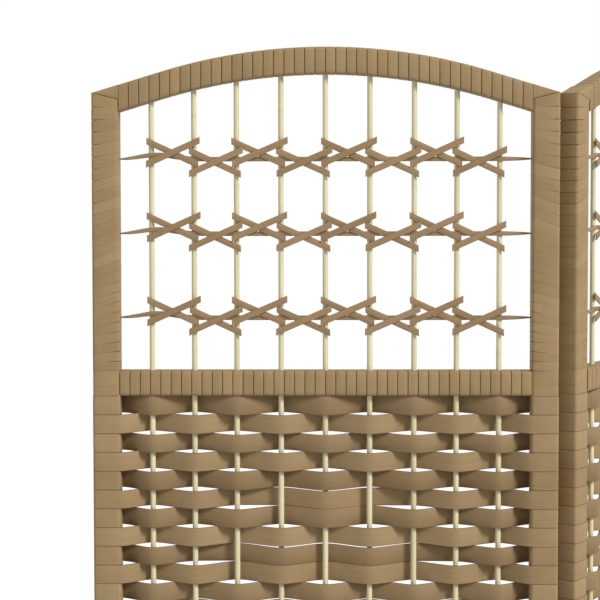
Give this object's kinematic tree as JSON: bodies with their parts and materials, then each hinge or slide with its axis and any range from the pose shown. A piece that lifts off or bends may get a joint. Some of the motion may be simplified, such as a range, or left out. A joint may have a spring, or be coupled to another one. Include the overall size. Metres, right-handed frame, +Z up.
{
  "type": "folding screen",
  "caption": "Folding room screen: arched panels with fibre strips woven on upright rods below an open window of crossed strips, joined by hinges on the back so that they fold flat together.",
  "frame": {"origin": "floor point under the middle of the standing screen's bounding box", "axes": "+Z up, the left panel faces -Y and runs along +X, the right panel swings back towards +Y"},
  "size_m": [0.706, 0.398, 1.7516],
  "materials": {
    "wound_fibre": "matt flat fibre strip, wound edge to edge",
    "woven_fibre": "matt flat fibre strip, woven",
    "cross_fibre": "matt flat fibre strip",
    "frame_wood": "plain sawn softwood under the winding",
    "bamboo": "pale split bamboo, satin",
    "hinge_metal": "satin"
  },
  "bodies": {
    "left_panel": {"left_panel_arch_wrap": "wound_fibre", "left_panel_arched_top_rail": "frame_wood", "left_panel_bamboo_rods": "bamboo", "left_panel_bottom_rail": "frame_wood", "left_panel_bottom_rail_wrap": "wound_fibre", "left_panel_even_woven_strips": "woven_fibre", "left_panel_left_leg_wrap": "wound_fibre", "left_panel_left_lower_stile_wrap": "wound_fibre", "left_panel_left_stile": "frame_wood", "left_panel_left_stile_bindings": "wound_fibre", "left_panel_left_upper_stile_wrap": "wound_fibre", "left_panel_lower_cross_band": "cross_fibre", "left_panel_middle_cross_band": "cross_fibre", "left_panel_middle_rail": "frame_wood", "left_panel_middle_rail_wrap": "wound_fibre", "left_panel_odd_woven_strips": "woven_fibre", "left_panel_right_leg_wrap": "wound_fibre", "left_panel_right_lower_stile_wrap": "wound_fibre", "left_panel_right_stile": "frame_wood", "left_panel_right_stile_bindings": "wound_fibre", "left_panel_right_upper_stile_wrap": "wound_fibre", "left_panel_upper_cross_band": "cross_fibre", "hinge_leaves_left": "hinge_metal", "hinge_pins": "hinge_metal"},
    "right_panel": {"right_panel_arch_wrap": "wound_fibre", "right_panel_arched_top_rail": "frame_wood", "right_panel_bamboo_rods": "bamboo", "right_panel_bottom_rail": "frame_wood", "right_panel_bottom_rail_wrap": "wound_fibre", "right_panel_even_woven_strips": "woven_fibre", "right_panel_left_leg_wrap": "wound_fibre", "right_panel_left_lower_stile_wrap": "wound_fibre", "right_panel_left_stile": "frame_wood", "right_panel_left_stile_bindings": "wound_fibre", "right_panel_left_upper_stile_wrap": "wound_fibre", "right_panel_lower_cross_band": "cross_fibre", "right_panel_middle_cross_band": "cross_fibre", "right_panel_middle_rail": "frame_wood", "right_panel_middle_rail_wrap": "wound_fibre", "right_panel_odd_woven_strips": "woven_fibre", "right_panel_right_leg_wrap": "wound_fibre", "right_panel_right_lower_stile_wrap": "wound_fibre", "right_panel_right_stile": "frame_wood", "right_panel_right_stile_bindings": "wound_fibre", "right_panel_right_upper_stile_wrap": "wound_fibre", "right_panel_upper_cross_band": "cross_fibre", "hinge_leaves_right": "hinge_metal"}
  },
  "joints": [
    {"name": "panel_fold", "type": "hinge", "parent": "left_panel", "child": "right_panel", "pos_m": [0.08893, -0.17494, 0.8], "axis": [0, 0, 1], "range_deg": [-57, 123]}
  ]
}
